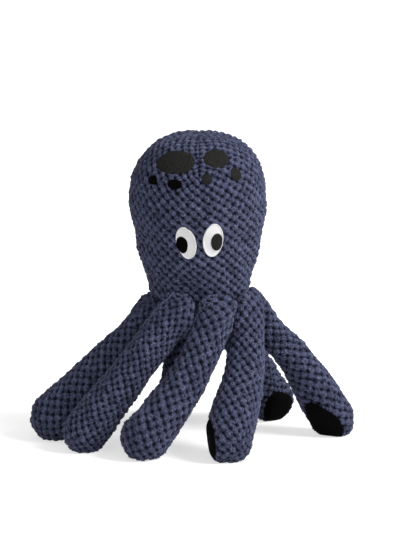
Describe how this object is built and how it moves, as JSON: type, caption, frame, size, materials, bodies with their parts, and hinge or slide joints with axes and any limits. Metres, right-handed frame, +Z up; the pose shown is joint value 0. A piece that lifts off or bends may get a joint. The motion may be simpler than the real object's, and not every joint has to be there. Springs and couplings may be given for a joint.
{
  "type": "plush octopus toy",
  "caption": "Stuffed plush octopus of knobbly blue fleece that stands on spread legs, with felt eyes, dark spots on its tall round head and dark soles on its legs.",
  "frame": {"origin": "on the floor, under the middle of the whole outline", "axes": "+Z up; the face looks along -Y; +X to the right of someone who looks at the face"},
  "size_m": [0.2724, 0.2032, 0.266],
  "materials": {
    "popcorn_fleece": "slate-blue fleece with raised popcorn tufts and dark navy ground",
    "sole_fleece": "black short-pile fleece",
    "white_felt": "white felt with a satin-stitched rim",
    "black_stitching": "black satin stitching",
    "stuffing": "white fibre fill"
  },
  "bodies": {
    "head": {"base_panel": "popcorn_fleece", "head_back_panel": "popcorn_fleece", "head_front_panel": "popcorn_fleece", "head_stuffing": "stuffing", "left_eye_white": "white_felt", "left_pupil": "black_stitching", "right_eye_white": "white_felt", "right_pupil": "black_stitching", "spot_brow_left": "black_stitching", "spot_brow_right": "black_stitching", "spot_crown_left": "black_stitching", "spot_crown_right": "black_stitching", "spot_side_left": "black_stitching", "spot_side_right": "black_stitching"},
    "leg_1": {"leg_1_upper_panel": "popcorn_fleece", "leg_1_under_panel": "popcorn_fleece", "leg_1_sole": "sole_fleece", "leg_1_stuffing": "stuffing"},
    "leg_2": {"leg_2_upper_panel": "popcorn_fleece", "leg_2_under_panel": "popcorn_fleece", "leg_2_sole": "sole_fleece", "leg_2_stuffing": "stuffing"},
    "leg_3": {"leg_3_upper_panel": "popcorn_fleece", "leg_3_under_panel": "popcorn_fleece", "leg_3_sole": "sole_fleece", "leg_3_stuffing": "stuffing"},
    "leg_4": {"leg_4_upper_panel": "popcorn_fleece", "leg_4_under_panel": "popcorn_fleece", "leg_4_sole": "sole_fleece", "leg_4_stuffing": "stuffing"},
    "leg_5": {"leg_5_upper_panel": "popcorn_fleece", "leg_5_under_panel": "popcorn_fleece", "leg_5_sole": "sole_fleece", "leg_5_stuffing": "stuffing"},
    "leg_6": {"leg_6_upper_panel": "popcorn_fleece", "leg_6_under_panel": "popcorn_fleece", "leg_6_sole": "sole_fleece", "leg_6_stuffing": "stuffing"},
    "leg_7": {"leg_7_upper_panel": "popcorn_fleece", "leg_7_under_panel": "popcorn_fleece", "leg_7_sole": "sole_fleece", "leg_7_stuffing": "stuffing"},
    "leg_8": {"leg_8_upper_panel": "popcorn_fleece", "leg_8_under_panel": "popcorn_fleece", "leg_8_sole": "sole_fleece", "leg_8_stuffing": "stuffing"}
  },
  "joints": [
    {"name": "leg_1_root", "type": "hinge", "parent": "head", "child": "leg_1", "pos_m": [-0.03533, -0.01041, 0.11348], "axis": [-0.2079, 0.9781, 0], "range_deg": [-6, 55], "stiffness_Nm_per_rad": 0.3, "springref_deg": -2.86},
    {"name": "leg_2_root", "type": "hinge", "parent": "head", "child": "leg_2", "pos_m": [-0.02946, 0.02125, 0.11348], "axis": [0.5446, 0.8387, 0], "range_deg": [-6, 55], "stiffness_Nm_per_rad": 0.3, "springref_deg": -2.86},
    {"name": "leg_3_root", "type": "hinge", "parent": "head", "child": "leg_3", "pos_m": [-0.00292, 0.03949, 0.11348], "axis": [0.9781, 0.2079, 0], "range_deg": [-6, 55], "stiffness_Nm_per_rad": 0.3, "springref_deg": -2.86},
    {"name": "leg_4_root", "type": "hinge", "parent": "head", "child": "leg_4", "pos_m": [0.02874, 0.03362, 0.11348], "axis": [0.8387, -0.5446, 0], "range_deg": [-6, 55], "stiffness_Nm_per_rad": 0.3, "springref_deg": -2.86},
    {"name": "leg_5_root", "type": "hinge", "parent": "head", "child": "leg_5", "pos_m": [0.04698, 0.00708, 0.11348], "axis": [0.2079, -0.9781, 0], "range_deg": [-6, 55], "stiffness_Nm_per_rad": 0.3, "springref_deg": -2.86},
    {"name": "leg_6_root", "type": "hinge", "parent": "head", "child": "leg_6", "pos_m": [0.04111, -0.02458, 0.11348], "axis": [-0.5446, -0.8387, 0], "range_deg": [-6, 55], "stiffness_Nm_per_rad": 0.3, "springref_deg": -2.86},
    {"name": "leg_7_root", "type": "hinge", "parent": "head", "child": "leg_7", "pos_m": [0.01457, -0.04282, 0.11348], "axis": [-0.9781, -0.2079, 0], "range_deg": [-6, 55], "stiffness_Nm_per_rad": 0.3, "springref_deg": -2.86},
    {"name": "leg_8_root", "type": "hinge", "parent": "head", "child": "leg_8", "pos_m": [-0.01709, -0.03695, 0.11348], "axis": [-0.8387, 0.5446, 0], "range_deg": [-6, 55], "stiffness_Nm_per_rad": 0.3, "springref_deg": -2.86}
  ]
}
